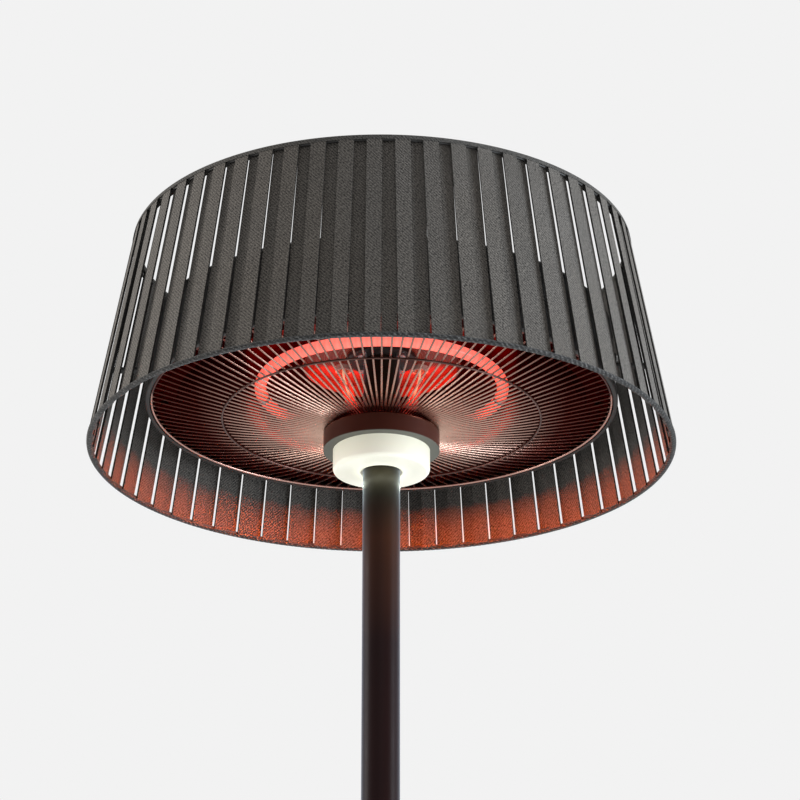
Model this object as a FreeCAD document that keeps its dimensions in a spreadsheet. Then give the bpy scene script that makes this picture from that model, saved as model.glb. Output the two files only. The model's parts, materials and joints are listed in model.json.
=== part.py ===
import FreeCAD, Part
import math
import os
import Sketcher

# Free-standing electric heater: a round weighted base, a three-piece pole and a heated head with a
# ring lamp, a wire grille, a lamp hub and a shade of two layers of webbing.
# Origin on the floor under the pole, +Z up, the front of the object faces -Y.  Millimetres.

V = FreeCAD.Vector
doc = FreeCAD.newDocument("floor_heater")
sheet = doc.addObject("Spreadsheet::Sheet", "dims")

SIZES = {
    # heights of the head and shade
    "head_level": 1870,         # lower edge of the shade above the floor
    "shade_height": 230,
    "shade_gap": 60.5,          # from the drum out to the lower edge of the shade
    "shade_taper": 37.5,        # how much narrower the shade is at its top, each side
    "ring_rod": 1.4,            # radius of the wire of both shade rings and the ribs
    "strap_width": 15,
    "inner_width": 14.85,       # of the straps of the inner layer
    "inner_rise": 1.5,          # how much higher the inner layer ends at the foot
    "strap_thickness": 1.8,
    "strap_fit": 0.15,          # slack between straps, wire and edge bindings
    "binding_wall": 1,
    "binding_bevel": 2.6,       # at the back corners of the top binding
    "foot_lip": 2.8,            # inner side of the foot binding above its floor
    "foot_bevel": 1.2,
    "binding_depth": 4,         # foot binding above the middle of its ring
    "top_depth": 1.2,           # top binding below the middle of its ring
    "weld": 0.2,                # depth of a weld where wires cross
    # arms that carry the shade
    "arm_drop": 40,             # below the shoulder of the drum
    "arm_width": 10,
    "arm_thickness": 3,
    "arm_tab": 8,               # how far its tab reaches below the arm
    "arm_screw": 2.5,
    # drum that holds the heater
    "drum_radius": 239.5,
    "drum_wall": 1.5,
    "drum_head": 27,            # shoulder of the drum above the roof of the recess
    "drum_round": 7,
    "roof_rise": 30,
    "rim_drop": 3.5,            # foot of the drum below the reflector's flange
    "rim_width": 3,
    "rim_height": 8,
    "ledge_width": 22,
    "ledge_inset": 7,           # screws from the inner edge of the ledge
    "ledge_height": 16,
    # reflector
    "sheet": 1.5,
    "flange_level": 55.5,       # above the lower edge of the shade
    "flange_width": 28,
    "cone_rise": 42,
    "recess_radius": 81,
    "recess_depth": 10.5,
    "flange_gap": 0.3,
    "wool_thickness": 12,
    # grille
    "grille_gap": 0.5,
    "flange_play": 0.1,         # between the wires and the reflector's flange
    "grille_rod": 1.4,
    "middle_step": 104,         # middle ring out from the hub
    "middle_level": 36.7,
    "middle_rod": 1.1,
    "hub_rod": 1.25,
    "wire": 1,
    # ring lamp
    "lamp_radius": 125,
    "lamp_gap": 4.6,            # between the glass and the reflector
    "lamp_tube": 6,
    "lamp_glass": 1.2,
    "filament": 1.1,
    "cap_radius": 8.5,
    "cap_step": 21,             # caps out from the pole
    "cap_back": 24,
    "cap_length": 26,
    "cap_show": 5,              # how far the caps reach into the recess
    "cap_grip": 4,              # depth of the glass in its cap
    "leg_across": 18,           # where the legs of the lamp come near the ring
    "leg_bend": 10,
    "leg_turn": 16,
    # hub under the head
    "hub_radius": 59.5,
    "hub_wall": 3,
    "hub_foot": 4,
    "hub_height": 18,
    "hub_plate": 2.5,
    "lip": 2.5,
    "hub_margin": 10,           # hub beyond the diffuser
    "diffuser_wall": 2,
    "diffuser_drop": 23.5,      # how far the diffuser hangs below the hub
    "diffuser_round": 4,
    "hub_fit": 0.2,
    "board_margin": 5.5,
    "board_thickness": 1.6,
    "led_width": 3.5,
    "led_height": 0.9,
    "led_inset": 9,
    # pole
    "pole_radius": 19,
    "pole_wall": 2,
    "pole_fit": 0.2,
    "sleeve_wall": 3,
    "sleeve_length": 120,
    "grub": 2.5,
    "cable": 4,
    "cable_bend": 25,
    "cable_bore": 9,
    # base
    "base_radius": 250,
    "foot_height": 10,
    "foot_radius": 15,
    "foot_inset": 45,
    "plate_thickness": 6,
    "weight_thickness": 24,
    "weight_gap": 10,           # between the weight and the socket
    "head_room": 5.5,           # under the cover, above the tilt switch
    "cover_wall": 1.5,
    "cover_round": 14,
    "post_radius": 6,
    "post_gap": 5,
    "post_screw": 2.5,
    "screw_head": 3.5,          # height of the pan heads
    "hole_fit": 0.3,
    "socket_radius": 60,
    "socket_thickness": 8,
    "socket_length": 160,
    "bolt_circle": 42,
    "bolt": 4,
    "bolt_head": 5.3,
    "trim_width": 16,
    "trim_height": 12,
    # power rocker, foot buttons, tilt switch and cord inlet
    "control_inset": 60,        # controls from the edge of the base
    "button_space": 62,
    "rocker_length": 25,
    "rocker_width": 17,
    "rocker_tilt": 8,           # degrees
    "rocker_pin": 1.5,
    "pin_fit": 0.05,
    "frame_wall": 3,
    "frame_flange": 2.5,
    "button_radius": 12,
    "button_travel": 3,
    "button_stand": 6,
    "button_gap": 0.3,
    "bush_wall": 2.5,
    "bush_flange": 4,
    "bush_length": 16,
    "tilt_inset": 110,
    "tilt_plate": 3,
    "tilt_play": 1,
    "tilt_head": 5,
    "tilt_arm": 14,
    "bob_radius": 6,
    "bob_width": 14,
    "tilt_pin": 2,
    "terminal_length": 44,
    "terminal_width": 20,
    "terminal_height": 18,
    "terminal_step": 40,        # inlet terminals from the weight's bore
    "inlet_level": 38,
    "inlet_bore": 4.5,
    "inlet_wall": 3.5,
    "inlet_flange": 4,
    "inlet_depth": 12,
}

STRAP_COUNT = 60
WIRE_COUNT = 120
LED_COUNT = 24
FOOT_COUNT = 6
ARM_COUNT = 4
INNER_STRAP_AT = -88.66     # azimuth of one inner strap, degrees
LEG_SLANT = 35              # fall of the legs of the lamp, degrees
QUARTERS = [45, 135, 225, 315]
CROSS = [0, 90, 180, 270]

for row, (name, number) in enumerate(SIZES.items(), start=1):
    sheet.set(f"A{row}", name)
    sheet.set(f"B{row}", str(number))
    sheet.setAlias(f"B{row}", name)
doc.recompute()


class Size:
    """A length that carries its expression in the sheet together with its number."""

    def __init__(self, text, value):
        self.text = text
        self.value = float(value)

    def __add__(self, other):
        other = as_size(other)
        return Size(f"({self.text} + {other.text})", self.value + other.value)

    def __sub__(self, other):
        other = as_size(other)
        return Size(f"({self.text} - {other.text})", self.value - other.value)

    def __mul__(self, other):
        other = as_size(other)
        return Size(f"({self.text} * {other.text})", self.value * other.value)

    def __truediv__(self, other):
        other = as_size(other)
        return Size(f"({self.text} / {other.text})", self.value / other.value)

    def __neg__(self):
        return Size(f"(-1 * {self.text})", -self.value)

    def root(self):
        return Size(f"sqrt({self.text})", math.sqrt(self.value))

    def __radd__(self, other):
        return as_size(other) + self

    def __rsub__(self, other):
        return as_size(other) - self

    def __rmul__(self, other):
        return as_size(other) * self


def as_size(number):
    return number if isinstance(number, Size) else Size(f"{number:.9g}", number)


def num(length):
    return as_size(length).value


class Dims:
    """Every size of the sheet by its alias."""


d = Dims()
for name in SIZES:
    setattr(d, name, Size("dims." + name, sheet.get(name)))


def bind(item, prop, length):
    item.setExpression(prop, as_size(length).text)


def place(item, x=0, y=0, z=0, turn=None):
    if turn is not None:
        item.Placement = FreeCAD.Placement(V(), turn)
    for axis, length in zip("xyz", (x, y, z)):
        bind(item, f"Placement.Base.{axis}", length)
    return item


def about_z(angle):
    return FreeCAD.Rotation(V(0, 0, 1), angle)


def toward(angle):
    """Turns a piece drawn along +Z to lie level and point along an azimuth."""
    across = V(math.cos(math.radians(angle)), math.sin(math.radians(angle)), 0)
    return FreeCAD.Rotation(V(0, 0, 1), across)


def on_circle(radius, angle):
    return radius * math.cos(math.radians(angle)), radius * math.sin(math.radians(angle))


def cylinder(radius, length, x=0, y=0, z=0, turn=None):
    item = doc.addObject("Part::Cylinder", "round")
    bind(item, "Radius", radius)
    bind(item, "Height", length)
    return place(item, x, y, z, turn)


def box(length, width, height, x=0, y=0, z=0):
    """A block whose middle stands at x, y and whose foot is at z."""
    item = doc.addObject("Part::Box", "block")
    bind(item, "Length", length)
    bind(item, "Width", width)
    bind(item, "Height", height)
    return place(item, x - as_size(length) / 2, y - as_size(width) / 2, z)


def hexagon(radius, length, x=0, y=0, z=0):
    item = doc.addObject("Part::Prism", "hexagon")
    item.Polygon = 6
    bind(item, "Circumradius", radius)
    bind(item, "Height", length)
    return place(item, x, y, z)


def torus(radius, rod, z):
    item = doc.addObject("Part::Torus", "ring")
    bind(item, "Radius1", radius)
    bind(item, "Radius2", rod)
    return place(item, z=z)


def fuse(*items):
    item = doc.addObject("Part::MultiFuse", "joined")
    item.Shapes = list(items)
    return item


def cut(base, *tools):
    item = doc.addObject("Part::Cut", "cut")
    item.Base = base
    item.Tool = tools[0] if len(tools) == 1 else group(tools)
    return item


def group(items):
    item = doc.addObject("Part::Compound", "group")
    item.Links = list(items)
    return item


def solid(shape):
    item = doc.addObject("Part::Feature", "solid")
    item.Shape = shape
    return item


def draw(sketch, outline):
    """Draws a closed outline of (across, up) points.  A third entry is the radius of the arc that
    leads to that point, below zero where the outline turns right."""
    corners = [V(num(point[0]), num(point[1]), 0) for point in outline]
    pieces = []
    for i, point in enumerate(outline):
        start, finish = corners[i - 1], corners[i]
        if len(point) == 2:
            line = sketch.addGeometry(Part.LineSegment(start, finish), False)
            pieces.append((line, 1, 2))
            continue
        radius = num(point[2])
        chord = finish - start
        side = V(-chord.y, chord.x, 0).normalize() * math.copysign(1, radius)
        middle = (start + finish) * 0.5
        rise = abs(radius) - math.sqrt(max(radius ** 2 - (chord.Length / 2) ** 2, 0))
        bulge = middle - side * rise
        first, last = (start, finish) if radius > 0 else (finish, start)
        arc = sketch.addGeometry(Part.ArcOfCircle(first, bulge, last), False)
        pieces.append((arc, 1, 2) if radius > 0 else (arc, 2, 1))
        at = sketch.addConstraint(Sketcher.Constraint("Radius", arc, abs(radius)))
        bind(sketch, f"Constraints[{at}]", point[2] if radius > 0 else -point[2])
    for i, point in enumerate(outline):
        before, here = pieces[i], pieces[(i + 1) % len(outline)]
        sketch.addConstraint(Sketcher.Constraint("Coincident", before[0], before[2], here[0], here[1]))
        for kind, axis, length in (("DistanceX", -2, point[0]), ("DistanceY", -1, point[1])):
            if num(length) == 0:
                sketch.addConstraint(Sketcher.Constraint("PointOnObject", before[0], before[2], axis))
                continue
            rule = Sketcher.Constraint(kind, -1, 1, before[0], before[2], num(length))
            bind(sketch, f"Constraints[{sketch.addConstraint(rule)}]", length)


def sketched(body, role, outline):
    sketch = body.newObject("Sketcher::SketchObject", "outline")
    plane = [item for item in body.Origin.OriginFeatures if item.Role == role][0]
    sketch.AttachmentSupport = [(plane, "")]
    sketch.MapMode = "FlatFace"
    draw(sketch, outline)
    return sketch


def revolved(outline):
    """A round body turned about the pole from an outline of (radius, level) points."""
    body = doc.addObject("PartDesign::Body", "turned")
    sketch = sketched(body, "XZ_Plane", outline)
    turn = body.newObject("PartDesign::Revolution", "turn")
    turn.Profile = sketch
    turn.ReferenceAxis = (sketch, ["V_Axis"])
    turn.Angle = 360
    body.Tip = turn
    return body


def padded(outline, width):
    """A body drawn in the side view (YZ plane) and as wide as stated, half to each side."""
    body = doc.addObject("PartDesign::Body", "padded")
    sketch = sketched(body, "YZ_Plane", outline)
    pad = body.newObject("PartDesign::Pad", "pad")
    pad.Profile = sketch
    pad.SideType = "Symmetric"
    bind(pad, "Length", width)
    body.Tip = pad
    return body


def tube(inner, outer, low, high):
    return revolved([(inner, low), (outer, low), (outer, high), (inner, high)])


def holes(radius, low, high, circle, angles):
    return group([cylinder(radius, high - low, *on_circle(circle, a), low) for a in angles])


def swept(edges, radius):
    """A round rod along a path of joined edges."""
    path = Part.Wire(edges)
    start = edges[0].valueAt(edges[0].FirstParameter)
    along = edges[0].tangentAt(edges[0].FirstParameter)
    ring = Part.Wire([Part.Circle(start, along, radius).toShape()])
    return path.makePipeShell([ring], True, False)


def spun(shape, angles):
    """Copies of a shape set round the pole."""
    copies = []
    for angle in angles:
        copy = shape.copy()
        copy.rotate(V(), V(0, 0, 1), angle)
        copies.append(copy)
    return Part.makeCompound(copies)


nodes = {}


def node(label, item):
    item.Label = label
    nodes[label] = item
    return item


# Levels in the base
plate_top = d.foot_height + d.plate_thickness
weight_top = plate_top + d.weight_thickness
tilt_height = d.tilt_plate + d.tilt_play + d.bob_radius + d.tilt_arm + d.tilt_head
cover_under = weight_top + tilt_height + d.head_room
cover_top = cover_under + d.cover_wall
cover_height = cover_top - plate_top
weight_bore = d.socket_radius + d.weight_gap
foot_circle = d.base_radius - d.foot_inset
control_row = d.base_radius - d.control_inset
post_circle = d.base_radius - d.cover_round - d.post_radius - 1
pole_foot = plate_top + d.socket_thickness
pole_bore = d.pole_radius - d.pole_wall
sleeve = pole_bore - d.pole_fit

# Levels in the head
head = d.head_level
flange_low = head + d.flange_level
recess_edge = flange_low + d.cone_rise
recess_top = recess_edge + d.recess_depth
drum_top = recess_top + d.drum_head
drum_bore = d.drum_radius - d.drum_wall
cone_radius = drum_bore - d.flange_width
cone_slope = d.cone_rise / (cone_radius - d.recess_radius)
lamp_level = flange_low + (cone_radius - d.lamp_radius) * cone_slope - d.lamp_tube - d.lamp_gap
grille_radius = drum_bore - d.grille_rod - d.grille_gap
middle_radius = d.hub_radius + d.middle_step
diffuser_radius = d.hub_radius - d.hub_margin
board_radius = diffuser_radius - d.board_margin
led_circle = board_radius - d.led_inset
cap_across = d.pole_radius + d.cap_step
shade_foot_radius = d.drum_radius + d.shade_gap
shade_top_radius = shade_foot_radius - d.shade_taper
flange_thickness = d.socket_thickness / 2
pole_top = recess_top - flange_thickness
section = (pole_top - pole_foot) / 3
hub_foot = head + d.hub_foot
hub_top = hub_foot + d.hub_height


# Base: feet, plate, weight, cover and the socket of the pole
feet = []
for i in range(FOOT_COUNT):
    spot = on_circle(foot_circle, 30 + i * 360 / FOOT_COUNT)
    feet.append(cylinder(d.foot_radius, d.foot_height, *spot, 0))
node("base_feet", group(feet))

plate = cylinder(d.base_radius, d.plate_thickness, z=d.foot_height)
node("base_plate", cut(
    plate,
    holes(d.bolt + d.hole_fit, d.foot_height - 1, plate_top + 1, d.bolt_circle, CROSS),
    holes(d.post_screw + d.hole_fit, d.foot_height - 1, plate_top + 1, post_circle, QUARTERS)))

weight_radius = post_circle - d.post_radius - d.post_gap
node("base_weight", tube(weight_bore, weight_radius, plate_top, weight_top))

posts = []
screws = []
screw_reach = cover_height / 2
for a in QUARTERS:
    spot = on_circle(post_circle, a)
    post = cylinder(d.post_radius, cover_under - plate_top, *spot, plate_top)
    posts.append(cut(post, cylinder(d.post_screw, screw_reach, *spot, plate_top)))
    screws.append(fuse(
        cylinder(d.post_screw, d.plate_thickness + screw_reach, *spot, d.foot_height),
        cylinder(d.post_screw * 2, d.screw_head, *spot, d.foot_height - d.screw_head)))
node("cover_posts", group(posts))
node("cover_screws", group(screws))

inner_round = d.cover_round - d.cover_wall
cover_hole = d.pole_radius + d.hole_fit
wall_inside = d.base_radius - d.cover_wall
cover_shell = revolved([
    (d.base_radius, plate_top),
    (d.base_radius, cover_top - d.cover_round),
    (d.base_radius - d.cover_round, cover_top, d.cover_round),
    (cover_hole, cover_top),
    (cover_hole, cover_under),
    (d.base_radius - d.cover_round, cover_under),
    (wall_inside, cover_top - d.cover_round, -inner_round),
    (wall_inside, plate_top)])

socket_blank = revolved([
    (d.cable_bore, plate_top),
    (d.socket_radius, plate_top),
    (d.socket_radius, pole_foot),
    (sleeve, pole_foot),
    (sleeve, pole_foot + d.socket_length),
    (d.cable_bore, pole_foot + d.socket_length)])
cable_level = weight_top + d.cable + 6
slot = box(d.cable * 2 + 4, d.pole_radius * 2, d.cable_bend, 0, d.pole_radius, cable_level - d.cable - 2)
node("pole_socket", cut(
    socket_blank, slot, holes(d.bolt, plate_top - 1, pole_foot + 1, d.bolt_circle, CROSS)))

bolts = []
for a in CROSS:
    spot = on_circle(d.bolt_circle, a)
    bolts.append(fuse(
        cylinder(d.bolt, d.plate_thickness + d.socket_thickness, *spot, d.foot_height),
        hexagon(d.bolt * 1.85, d.bolt_head, *spot, d.foot_height - d.bolt_head)))
node("socket_bolts", group(bolts))

trim_bore = d.pole_radius + d.hole_fit
trim_edge = trim_bore + d.trim_width
node("pole_trim", revolved([
    (trim_bore, cover_top),
    (trim_edge, cover_top),
    (trim_edge, cover_top + d.trim_height / 4),
    (trim_bore + d.trim_width / 4, cover_top + d.trim_height),
    (trim_bore, cover_top + d.trim_height)]))


# Pole: three tubes, two sleeves inside the joints, set screws at the back
joints = [pole_foot + section, pole_foot + section * 2]
grub_step = d.sleeve_length / 4
grub_levels = [level + step for level in joints for step in (-grub_step, grub_step)]


def grub_holes(levels):
    return group([cylinder(d.grub, d.pole_radius * 2, 0, 0, z, toward(90)) for z in levels])


def pole_tube(low, high, levels):
    blank = tube(pole_bore, d.pole_radius, low, high)
    return cut(blank, grub_holes(levels)) if levels else blank


node("lower_tube", cut(
    tube(pole_bore, d.pole_radius, pole_foot, joints[0]), slot, grub_holes(grub_levels[:1])))
node("middle_tube", pole_tube(joints[0], joints[1], grub_levels[1:3]))
node("upper_tube", pole_tube(joints[1], pole_top, grub_levels[3:]))
sleeves = []
for level, pair in zip(joints, (grub_levels[:2], grub_levels[2:])):
    blank = tube(sleeve - d.sleeve_wall, sleeve, level - d.sleeve_length / 2, level + d.sleeve_length / 2)
    sleeves.append(cut(blank, grub_holes(pair)))
node("pole_sleeves", group(sleeves))
grub_start = sleeve - d.sleeve_wall
grub_length = d.pole_radius - grub_start - 0.3
node("pole_grubs", group(
    [cylinder(d.grub, grub_length, 0, grub_start, z, toward(90)) for z in grub_levels]))


# Head: spigot in the pole, bridge plate, reflector, wool and drum
bridge_low = recess_top + d.sheet
bridge_top = bridge_low + flange_thickness
bridge_radius = d.recess_radius + 18
spigot_radius = d.pole_radius + 17
spigot_circle = d.pole_radius + 9
spigot_bolt = d.bolt * 0.75
spigot_reach = d.socket_length / 3
cable_way = d.cable_bore + 3
node("head_spigot", cut(
    revolved([
        (d.cable_bore, recess_top),
        (d.cable_bore, pole_top - spigot_reach),
        (sleeve, pole_top - spigot_reach),
        (sleeve, pole_top),
        (spigot_radius, pole_top),
        (spigot_radius, recess_top)]),
    holes(spigot_bolt + d.hole_fit, pole_top - 1, recess_top + 1, spigot_circle, QUARTERS)))

cap_spots = [(-cap_across, d.cap_back), (cap_across, d.cap_back)]
cap_low = recess_top - d.cap_show
flange_radius = drum_bore - d.flange_gap
recess_out = d.recess_radius + d.sheet
ledge_screw = d.post_screw * 0.8
ledge_circle = drum_bore - d.ledge_width + d.ledge_inset
reflector_blank = revolved([
    (flange_radius, flange_low),
    (flange_radius, flange_low + d.sheet),
    (cone_radius, flange_low + d.sheet),
    (recess_out, recess_edge + d.sheet - cone_slope * d.sheet),
    (recess_out, recess_top + d.sheet),
    (cable_way, recess_top + d.sheet),
    (cable_way, recess_top),
    (d.recess_radius, recess_top),
    (d.recess_radius, recess_edge),
    (cone_radius, flange_low)])
node("reflector", cut(
    reflector_blank,
    group([
        cylinder(d.cap_radius, d.cap_length * 2, x, y, recess_top - d.cap_length)
        for x, y in cap_spots]),
    holes(spigot_bolt + d.hole_fit, recess_top - 1, bridge_low + 1, spigot_circle, QUARTERS),
    holes(ledge_screw + d.hole_fit, flange_low - 1, flange_low + d.sheet + 1, ledge_circle, CROSS)))

node("head_bridge", cut(
    tube(cable_way, bridge_radius, bridge_low, bridge_top),
    group([
        cylinder(d.cap_radius + d.hole_fit, d.cap_length * 2, x, y, recess_top - d.cap_length)
        for x, y in cap_spots]),
    holes(spigot_bolt, bridge_low - 1, bridge_top + 1, spigot_circle, QUARTERS)))

head_bolts = []
for a in QUARTERS:
    spot = on_circle(spigot_circle, a)
    head_bolts.append(fuse(
        cylinder(spigot_bolt, bridge_top - pole_top, *spot, pole_top),
        cylinder(spigot_bolt * 1.6, d.screw_head, *spot, pole_top - d.screw_head)))
node("head_bolts", group(head_bolts))

wool_in = bridge_radius + 4
wool_out = cone_radius - 6


def cone_back(radius):
    """Level of the upper side of the reflector's cone."""
    return flange_low + d.sheet + (cone_radius - radius) * cone_slope


node("heat_wool", revolved([
    (wool_in, cone_back(wool_in)),
    (wool_out, cone_back(wool_out)),
    (wool_out, cone_back(wool_out) + d.wool_thickness),
    (wool_in, cone_back(wool_in) + d.wool_thickness)]))

ledge_low = flange_low + d.sheet
ledge_in = drum_bore - d.ledge_width
node("ledge_ring", cut(
    revolved([
        (ledge_in, ledge_low),
        (drum_bore, ledge_low),
        (drum_bore, ledge_low + d.ledge_height),
        (drum_bore - d.sheet, ledge_low + d.ledge_height),
        (drum_bore - d.sheet, ledge_low + d.sheet),
        (ledge_in, ledge_low + d.sheet)]),
    holes(ledge_screw, ledge_low - 1, ledge_low + d.sheet + 1, ledge_circle, CROSS)))

ledge_screws = []
for a in CROSS:
    spot = on_circle(ledge_circle, a)
    ledge_screws.append(fuse(
        cylinder(ledge_screw, d.sheet * 2 + 3, *spot, flange_low),
        cylinder(ledge_screw * 2, d.screw_head / 2, *spot, flange_low - d.screw_head / 2)))
node("ledge_screws", group(ledge_screws))

drum_foot = flange_low - d.rim_drop
roof_top = drum_top + d.roof_rise
shoulder = d.drum_radius - d.drum_round
drum_blank = revolved([
    (d.drum_radius, drum_foot),
    (d.drum_radius, drum_top - d.drum_round),
    (shoulder, drum_top, d.drum_round),
    (0, roof_top),
    (0, roof_top - d.drum_wall),
    (shoulder, drum_top - d.drum_wall),
    (drum_bore, drum_top - d.drum_round, d.drum_wall - d.drum_round),
    (drum_bore, drum_foot)])

rim_radius = d.drum_radius + d.rim_width
rim_foot = drum_foot - d.sheet
node("drum_rim", revolved([
    (drum_bore, rim_foot),
    (rim_radius - d.rim_width / 2, rim_foot),
    (rim_radius, rim_foot + d.rim_width / 2, d.rim_width / 2),
    (rim_radius, rim_foot + d.rim_height),
    (d.drum_radius, rim_foot + d.rim_height),
    (d.drum_radius, drum_foot),
    (drum_bore, drum_foot)]))


# Ring lamp: a hollow glass ring whose two ends run inward and up into ceramic caps
ring_r = num(d.lamp_radius)
ring_z = num(lamp_level)


def lamp_leg(side):
    """One end of the middle line of the glass, from its cap down and out to the ring, as a list of
    straight stretches (two points) and arcs (three points)."""
    foot = V(num(cap_across) * side, num(d.cap_back), 0)
    bend, turn, fall = num(d.leg_bend), num(d.leg_turn), math.radians(LEG_SLANT)
    out = (V(num(d.leg_across) * side, ring_r - turn * 2, 0) - foot).normalize()
    inside = V(out.y, -out.x, 0) * side
    base = foot + inside * turn
    ahead = base.dot(out)
    run = math.sqrt(ahead ** 2 - base.dot(base) + (ring_r - turn) ** 2) - ahead
    hinge = base + out * run
    ring_end = hinge * (ring_r / (ring_r - turn)) + V(0, 0, ring_z)
    last = foot + out * run + V(0, 0, ring_z)
    hinge = hinge + V(0, 0, ring_z)
    halfway = ((last - hinge).normalize() + (ring_end - hinge).normalize()).normalize()

    def at(step, level):
        return foot + out * step + V(0, 0, level)

    high = num(cap_low) - 1
    slope_from = (bend - bend * math.sin(fall), high - bend * math.cos(fall))
    slope_end = ring_z + turn * (1 - math.cos(fall))
    slope_run = slope_from[0] + (slope_from[1] - slope_end) / math.tan(fall)
    level_from = slope_run + turn * math.sin(fall)
    first, second = math.radians(90 - LEG_SLANT) / 2, fall / 2
    return [
        (at(0, num(cap_low + d.cap_grip)), at(0, high)),
        (at(0, high), at(bend - bend * math.cos(first), high - bend * math.sin(first)), at(*slope_from)),
        (at(*slope_from), at(slope_run, slope_end)),
        (at(slope_run, slope_end),
         at(level_from - turn * math.sin(second), ring_z + turn * (1 - math.cos(second))),
         at(level_from, ring_z)),
        (at(level_from, ring_z), last),
        (last, hinge + halfway * turn, ring_end)]


def stretch(points):
    piece = Part.LineSegment(*points) if len(points) == 2 else Part.Arc(*points)
    return piece.toShape()


def lamp_path():
    """The middle line of the glass, from the left cap round the front to the right cap."""
    left, right = lamp_leg(-1), lamp_leg(1)
    ring = (left[-1][-1], V(0, -ring_r, ring_z), right[-1][-1])
    back = [tuple(reversed(points)) for points in reversed(right)]
    return [stretch(points) for points in left + [ring] + back]


glass = swept(lamp_path(), num(d.lamp_tube)).cut(swept(lamp_path(), num(d.lamp_tube - d.lamp_glass)))
node("lamp_glass", solid(glass))
node("lamp_filament", solid(swept(lamp_path(), num(d.filament))))
caps = []
for x, y in cap_spots:
    cap = cylinder(d.cap_radius, d.cap_length, x, y, cap_low)
    caps.append(cut(cap, cylinder(d.lamp_tube, d.cap_grip, x, y, cap_low)))
node("lamp_caps", group(caps))

clip_ring = cut(
    cylinder(d.lamp_tube + 0.9, 6, d.lamp_radius, 3, lamp_level, toward(-90)),
    cylinder(d.lamp_tube + 0.05, 6, d.lamp_radius, 3, lamp_level, toward(-90)))
clip_foot = lamp_level + d.lamp_tube + 0.4
clip_back = flange_low + (cone_radius - d.lamp_radius - 2) * cone_slope
clip = fuse(clip_ring, box(3, 6, clip_back - clip_foot, d.lamp_radius, 0, clip_foot))
doc.recompute()
node("lamp_clips", solid(spun(clip.Shape, [10, 170])))

# Wiring in the head
terminal_at = d.cable_bore * 6
terminal_half = d.terminal_width / 2
head_terminal = box(
    d.terminal_length, d.terminal_width, d.terminal_height, 0, terminal_at, bridge_top)
node("thermal_cutout", cylinder(d.cable_bore, d.cable_bore, 0, -terminal_at, bridge_top))


# Grille: the radial wires lie on three rings, welded where they cross
outer_level = flange_low - d.flange_play - d.wire * 2 - d.grille_rod + d.weld
node("grille_outer_ring", torus(grille_radius, d.grille_rod, outer_level))
node("grille_middle_ring", torus(middle_radius, d.middle_rod, head + d.middle_level))
hub_ring_level = hub_top + d.hub_rod
hub_ring_radius = d.hub_radius - d.hub_rod * 2
node("grille_hub_ring", torus(hub_ring_radius, d.hub_rod, hub_ring_level))

wire_in = V(num(hub_ring_radius), 0, num(hub_ring_level + d.hub_rod + d.wire - d.weld))
wire_mid = V(num(middle_radius), 0, num(head + d.middle_level + d.middle_rod + d.wire - d.weld))
wire_out = V(num(grille_radius), 0, num(outer_level + d.grille_rod + d.wire - d.weld))
wire_edge = Part.Arc(wire_in, wire_mid, wire_out).toShape()
wire_one = swept([wire_edge], num(d.wire))
node("grille_wires", solid(spun(wire_one, [i * 360 / WIRE_COUNT for i in range(WIRE_COUNT)])))


# Hub: plate on the pole, collar, light board and diffuser
collar_bore = d.hub_radius - d.hub_wall
lip_bore = diffuser_radius + d.hub_fit
lip_top = hub_foot + d.lip
plate_low = hub_top - d.hub_plate
flange_top = lip_top + d.diffuser_wall
boss_radius = d.pole_radius + 6
lug_at = diffuser_radius + d.hub_wall / 3
collar_blank = revolved([
    (lip_bore, hub_foot),
    (d.hub_radius, hub_foot),
    (d.hub_radius, hub_top),
    (collar_bore, hub_top),
    (collar_bore, lip_top),
    (lip_bore, lip_top)])
lug_inner = lug_at - 4
lug_span = collar_bore + 0.5 - lug_inner
lugs = []
hub_screws = []
hub_screw = d.post_screw * 0.6
for a in QUARTERS:
    lug = box(lug_span, 8, plate_low - flange_top)
    lug.Placement = FreeCAD.Placement(V(), about_z(a))
    reach = lug_inner
    side = on_circle(4, a - 90)
    spot = on_circle(reach, a)
    place(lug, spot[0] + side[0], spot[1] + side[1], flange_top)
    screw_spot = on_circle(lug_at, a)
    lugs.append(cut(lug, cylinder(hub_screw, 40, *screw_spot, flange_top + 1)))
    hub_screws.append(fuse(
        cylinder(hub_screw, hub_top - flange_top - 1, *screw_spot, flange_top + 1),
        cylinder(hub_screw * 2, d.screw_head / 2, *screw_spot, hub_top)))
node("hub_collar", fuse(collar_blank, *lugs))
board_top = plate_low - 5.5
plate_radius = collar_bore - d.hub_fit
node("hub_plate", cut(
    revolved([
        (d.pole_radius, board_top),
        (boss_radius, board_top),
        (boss_radius, plate_low),
        (plate_radius, plate_low),
        (plate_radius, hub_top),
        (d.pole_radius, hub_top)]),
    holes(hub_screw, plate_low - 1, hub_top + 1, lug_at, QUARTERS)))
node("hub_screws", group(hub_screws))

board_low = board_top - d.board_thickness
node("led_board", tube(d.pole_radius + 2, board_radius, board_low, board_top))
leds = []
doc.recompute()
led_shape = Part.makeBox(
    num(d.led_width), num(d.led_width), num(d.led_height),
    V(num(led_circle - d.led_width / 2), num(-d.led_width / 2), num(board_low - d.led_height)))
node("leds", solid(spun(led_shape, [(i + 0.5) * 360 / LED_COUNT for i in range(LED_COUNT)])))

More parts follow.
